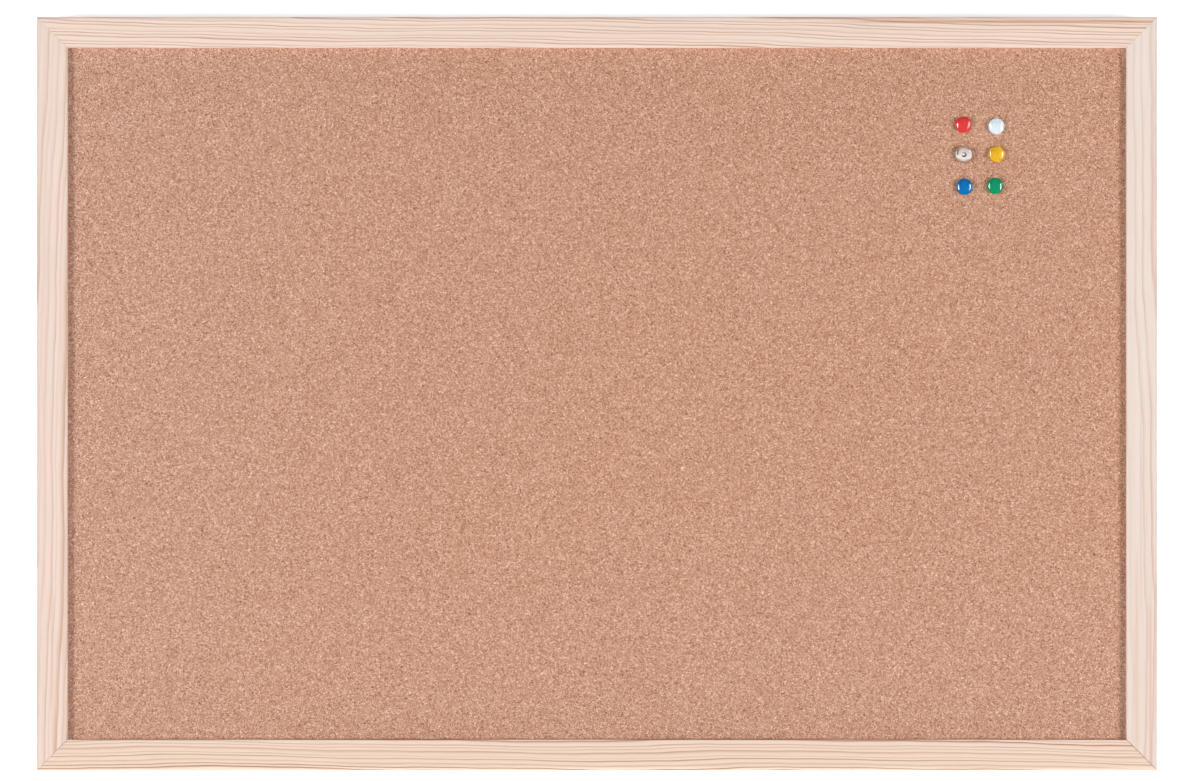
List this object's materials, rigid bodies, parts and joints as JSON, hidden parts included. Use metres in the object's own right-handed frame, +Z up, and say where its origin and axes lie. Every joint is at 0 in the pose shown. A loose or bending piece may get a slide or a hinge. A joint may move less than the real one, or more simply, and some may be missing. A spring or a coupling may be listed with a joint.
{
  "type": "cork pin board",
  "caption": "Wall-hung cork board: a layered panel held in a grooved, mitred pine frame, with sawtooth hangers behind and drawing pins that pull straight out of the face.",
  "frame": {"origin": "midway between the two hangers, on the line where their teeth rest on the wall nails, in the plane of the rails' back faces", "axes": "+X to the right seen from the front, +Y towards the wall, +Z up; the cork face looks along -Y"},
  "size_m": [0.58, 0.0199, 0.39],
  "materials": {
    "pine": "matte",
    "cork": "matte",
    "fibreboard": "matte",
    "hardboard": "matte",
    "zinc_steel": "satin",
    "bright_steel": "gloss",
    "nickel": "polished",
    "red_plastic": "gloss",
    "white_plastic": "gloss",
    "yellow_plastic": "gloss",
    "blue_plastic": "gloss",
    "green_plastic": "gloss"
  },
  "bodies": {
    "board": {"top_rail": "pine", "bottom_rail": "pine", "left_stile": "pine", "right_stile": "pine", "cork_sheet": "cork", "core_board": "fibreboard", "backing_sheet": "hardboard", "v_nail_top_left_1": "zinc_steel", "v_nail_top_left_2": "zinc_steel", "v_nail_top_right_1": "zinc_steel", "v_nail_top_right_2": "zinc_steel", "v_nail_bottom_left_1": "zinc_steel", "v_nail_bottom_left_2": "zinc_steel", "v_nail_bottom_right_1": "zinc_steel", "v_nail_bottom_right_2": "zinc_steel", "left_hanger": "zinc_steel", "right_hanger": "zinc_steel", "left_hanger_nail_1": "bright_steel", "left_hanger_nail_2": "bright_steel", "right_hanger_nail_1": "bright_steel", "right_hanger_nail_2": "bright_steel"},
    "red_pin": {"red_pin_cap": "red_plastic", "red_pin_tack": "bright_steel"},
    "white_pin": {"white_pin_cap": "white_plastic", "white_pin_tack": "bright_steel"},
    "silver_pin": {"silver_pin_cap": "nickel", "silver_pin_tack": "bright_steel"},
    "yellow_pin": {"yellow_pin_cap": "yellow_plastic", "yellow_pin_tack": "bright_steel"},
    "blue_pin": {"blue_pin_cap": "blue_plastic", "blue_pin_tack": "bright_steel"},
    "green_pin": {"green_pin_cap": "green_plastic", "green_pin_tack": "bright_steel"}
  },
  "joints": [
    {"name": "red_pin_pull", "type": "slide", "parent": "board", "child": "red_pin", "axis": [0, -1, 0], "range_m": [0, 0.01]},
    {"name": "white_pin_pull", "type": "slide", "parent": "board", "child": "white_pin", "axis": [0, -1, 0], "range_m": [0, 0.01]},
    {"name": "silver_pin_pull", "type": "slide", "parent": "board", "child": "silver_pin", "axis": [0, -1, 0], "range_m": [0, 0.01]},
    {"name": "yellow_pin_pull", "type": "slide", "parent": "board", "child": "yellow_pin", "axis": [0, -1, 0], "range_m": [0, 0.01]},
    {"name": "blue_pin_pull", "type": "slide", "parent": "board", "child": "blue_pin", "axis": [0, -1, 0], "range_m": [0, 0.01]},
    {"name": "green_pin_pull", "type": "slide", "parent": "board", "child": "green_pin", "axis": [0, -1, 0], "range_m": [0, 0.01]}
  ]
}
